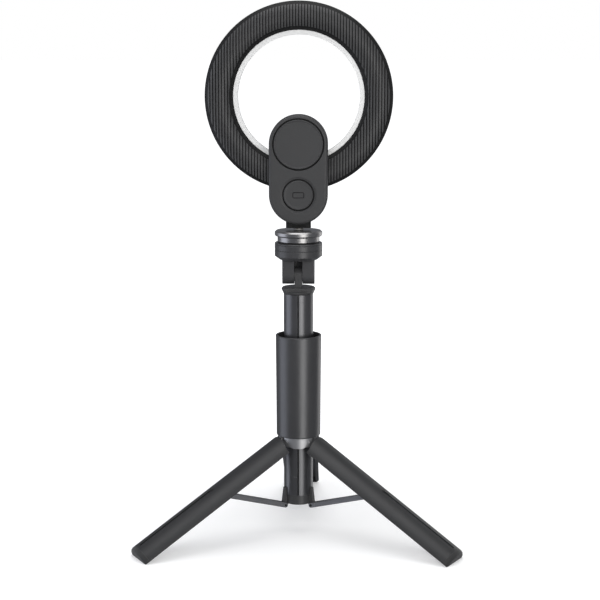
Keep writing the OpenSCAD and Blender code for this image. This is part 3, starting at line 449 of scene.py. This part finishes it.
# %% Collar on the stud, between the plate and the neck
plate_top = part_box("turn_plate")[1][2]
neck_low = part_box("neck_block")[0][2]
stud_r, collar_r, collar_gap = 0.00318, 0.00408, 0.0003
section_r = (collar_r - stud_r) / 2
tall = (neck_low - plate_top - collar_gap) / (2 * section_r)
placed = Matrix.Translation((0, 0, (plate_top + neck_low) / 2)) @ Matrix.Diagonal((1, 1, tall, 1))
stud_grey = finish("stud_grey", (0.3, 0.295, 0.285), 0.44, metal=0.6, bump=0.000004, edge=0.3)
new_piece("stud_collar", spun_cord(stud_r + section_r, section_r, placed), stud_grey, "light")

# %% Painted shade: a near-black ring at the bottom of the groove round the big disc
low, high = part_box("round_cover")
disc_x, disc_z = (low[0] + high[0]) / 2, (low[2] + high[2]) / 2
disc_r = (high[0] - low[0]) / 2
shade_ring_depth, shade_ring_out, shade_ring_thick = 0.0014, 0.00058, 0.0005
shade_ring_y = low[1] + shade_ring_depth
turned = Matrix.Translation((disc_x, shade_ring_y, disc_z)) @ Matrix.Rotation(math.pi / 2, 4, "X")
new_piece("disc_groove_shade_ring", spun_cord(disc_r + shade_ring_out, shade_ring_thick, turned), deep_black, "light")

# %% Painted shade: a near-black ring in the gap round the button, for the shaded edge of its dish
low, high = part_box("push_button")
seat_low, seat_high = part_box("button_seat")
gap_in, gap_out = (high[0] - low[0]) / 2, (seat_high[0] - seat_low[0]) / 2
shade_ring_proud, shade_ring_share = 0.0002, 0.42  # above the seat, and of the gap's width
turned = Matrix.Translation((0, seat_low[1] - shade_ring_proud, (low[2] + high[2]) / 2))
turned = turned @ Matrix.Rotation(math.pi / 2, 4, "X")
button_shade_ring = spun_cord((gap_in + gap_out) / 2, (gap_out - gap_in) * shade_ring_share, turned)
new_piece("button_shade_ring", button_shade_ring, deep_black, "light")

# %% Rolled lip at the top of the sleeve
low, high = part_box("grip_sleeve")
lip_thick, lip_sink, lip_flat = 0.0008, 0.0001, 0.55
lip_r = (high[0] - low[0]) / 2 - lip_thick
placed = Matrix.Translation((0, 0, high[2] - lip_sink)) @ Matrix.Diagonal((1, 1, lip_flat, 1))
new_piece("sleeve_lip", spun_cord(lip_r, lip_thick, placed), sleeve_black, "pole_base")

# %% Outline on the button
low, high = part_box("push_button")
button_z = (low[2] + high[2]) / 2
icon_w, icon_h, icon_line, icon_corner, icon_rise = 0.0094, 0.0048, 0.0006, 0.0011, 0.00022
bm = bmesh.new()
grid = bmesh.ops.create_grid(bm, x_segments=1, y_segments=1, size=0.5)["verts"]
bmesh.ops.scale(bm, verts=grid, vec=(icon_w, icon_h, 1))
bmesh.ops.bevel(
    bm, geom=bm.verts[:], offset=icon_corner, affect="VERTICES",
    segments=6, profile=0.5, material=-1,
)
rim = bmesh.ops.inset_region(
    bm, faces=bm.faces[:], thickness=icon_line, use_boundary=True
)["faces"]
inner = [f for f in bm.faces if f not in rim]
bmesh.ops.delete(bm, geom=inner, context="FACES_ONLY")
raised = bmesh.ops.extrude_face_region(bm, geom=bm.faces[:])["geom"]
bmesh.ops.translate(
    bm, verts=[v for v in raised if isinstance(v, bmesh.types.BMVert)], vec=(0, 0, icon_rise)
)
face_y = low[1] + 0.0002
turned = Matrix.Translation((0, face_y + 0.0002, button_z)) @ Matrix.Rotation(math.pi / 2, 4, "X")
bmesh.ops.transform(bm, matrix=turned, verts=bm.verts)
icon_ink = finish("icon_ink", (0.014, 0.014, 0.014), 0.6, bump=0.000004, edge=0.1, specular=0.2)
new_piece("button_outline", bm, icon_ink, "button")

# %% [markdown]
# ## Studio
# A product table: a white floor that runs back for metres, tall strip lamps at the left,
# the right front and the right rear, a soft box overhead, and a square fill on the far side
# of the camera and another behind the object. The fills do not show in reflections, and
# neither does the floor, so an upright tube mirrors the strips alone. The floor could be
# lit until it clips, but that would wash out the object as well. Instead it adds a little
# light of its own for the camera, so it reads white where nothing shades it and keeps the
# shadow.

# %% Floor
def make_floor():
    mesh = bpy.data.meshes.new("floor")
    bm = bmesh.new()
    bmesh.ops.create_grid(bm, x_segments=1, y_segments=1, size=30.0)
    bm.to_mesh(mesh)
    bm.free()
    floor = bpy.data.objects.new("floor", mesh)
    bpy.context.scene.collection.objects.link(floor)
    material = bpy.data.materials.new("floor_white")
    material.use_nodes = True
    tree = material.node_tree
    tree.nodes.remove(tree.nodes["Principled BSDF"])
    matt = add(tree, "ShaderNodeBsdfDiffuse", in_Color=(0.72, 0.72, 0.72, 1))
    glow = add(tree, "ShaderNodeEmission", in_Color=(1, 1, 1, 1))
    path = add(tree, "ShaderNodeLightPath")
    seen = math_node(tree, "MAXIMUM", path.outputs["Is Camera Ray"], path.outputs["Is Glossy Ray"])
    place = add(tree, "ShaderNodeTexCoord").outputs["Object"]
    far = add(tree, "ShaderNodeVectorMath", operation="LENGTH")
    tree.links.new(place, far.inputs[0])
    ramp = add(tree, "ShaderNodeMapRange", interpolation_type="SMOOTHSTEP", in_From_Min=0.05,
               in_From_Max=0.6, in_To_Min=0.36, in_To_Max=1.0)
    tree.links.new(far.outputs["Value"], ramp.inputs["Value"])
    strength = math_node(tree, "MULTIPLY", seen, ramp.outputs["Result"])
    tree.links.new(strength, glow.inputs["Strength"])
    both = add(tree, "ShaderNodeAddShader")
    tree.links.new(matt.outputs[0], both.inputs[0])
    tree.links.new(glow.outputs[0], both.inputs[1])
    tree.links.new(both.outputs[0], tree.nodes["Material Output"].inputs["Surface"])
    mesh.materials.append(material)
    floor.visible_glossy = False
    return floor


floor = make_floor()
print("floor", floor.name, "metres across", round(max(floor.dimensions), 1))

# %% World
def make_world():
    world = bpy.data.worlds.new("studio")
    bpy.context.scene.world = world
    world.use_nodes = True
    tree = world.node_tree
    room = tree.nodes["Background"]
    room.inputs["Color"].default_value = (0.9, 0.93, 1.0, 1)
    room.inputs["Strength"].default_value = 0.24
    white = add(tree, "ShaderNodeBackground", in_Color=(1, 1, 1, 1), in_Strength=1.0)
    path = add(tree, "ShaderNodeLightPath")
    seen = path.outputs["Is Camera Ray"]
    pick = add(tree, "ShaderNodeMixShader")
    tree.links.new(seen, pick.inputs[0])
    tree.links.new(room.outputs[0], pick.inputs[1])
    tree.links.new(white.outputs[0], pick.inputs[2])
    tree.links.new(pick.outputs[0], tree.nodes["World Output"].inputs["Surface"])


make_world()
print("world", bpy.context.scene.world.name)

# %% Lamps
def area_lamp(name, place, aim, width, height, watts, colour=(1, 1, 1)):
    light = bpy.data.lights.new(name, "AREA")
    light.shape = "RECTANGLE"
    light.size, light.size_y = width, height
    light.energy, light.color = watts, colour
    lamp = bpy.data.objects.new(name, light)
    lamp.location = place
    lamp.rotation_euler = (Vector(aim) - Vector(place)).to_track_quat("-Z", "Y").to_euler()
    bpy.context.scene.collection.objects.link(lamp)
    return lamp


middle = (0, 0, 0.22)
area_lamp("left_strip", (-1.04, -0.1, 0.2), middle, 0.85, 1.3, 4.8, (0.84, 0.88, 1.0))
area_lamp("key_strip", (0.56, -1.2, 0.2), middle, 0.62, 1.3, 8.4, (1.0, 0.99, 0.97))
front = area_lamp("front_fill", (-0.15, -1.5, 0.8), middle, 0.7, 0.7, 10)
front.visible_glossy = False
back = area_lamp("back_fill", (0.2, 1.5, 0.75), middle, 0.9, 0.9, 4)
back.visible_glossy = False
area_lamp("rim_strip", (0.78, 0.82, 0.2), middle, 0.6, 1.3, 2.8, (1.0, 0.99, 0.97))
area_lamp("top_softbox", (0, -0.2, 1.5), middle, 1.2, 1.2, 12)

# %% [markdown]
# ## Camera
# The picture looks slightly down on the object from far away, with a long lens, so that
# upright lines stay nearly parallel. The camera aims at a point on the pole.

# %% Camera
def make_camera():
    data = bpy.data.cameras.new("camera")
    data.lens, data.sensor_width = 90.0, 36.0
    data.clip_start, data.clip_end = 0.05, 200.0
    data.shift_x = 0.0025
    camera = bpy.data.objects.new("camera", data)
    camera.location = (0.03, -1.2205, 0.4103)
    aim = Vector((0, 0, 0.1994))
    camera.rotation_euler = (aim - camera.location).to_track_quat("-Z", "Y").to_euler()
    bpy.context.scene.collection.objects.link(camera)
    bpy.context.scene.camera = camera
    return camera


camera = make_camera()
bpy.context.scene.view_settings.view_transform = "Standard"
print("camera", [round(x, 3) for x in camera.location], "lens", camera.data.lens)
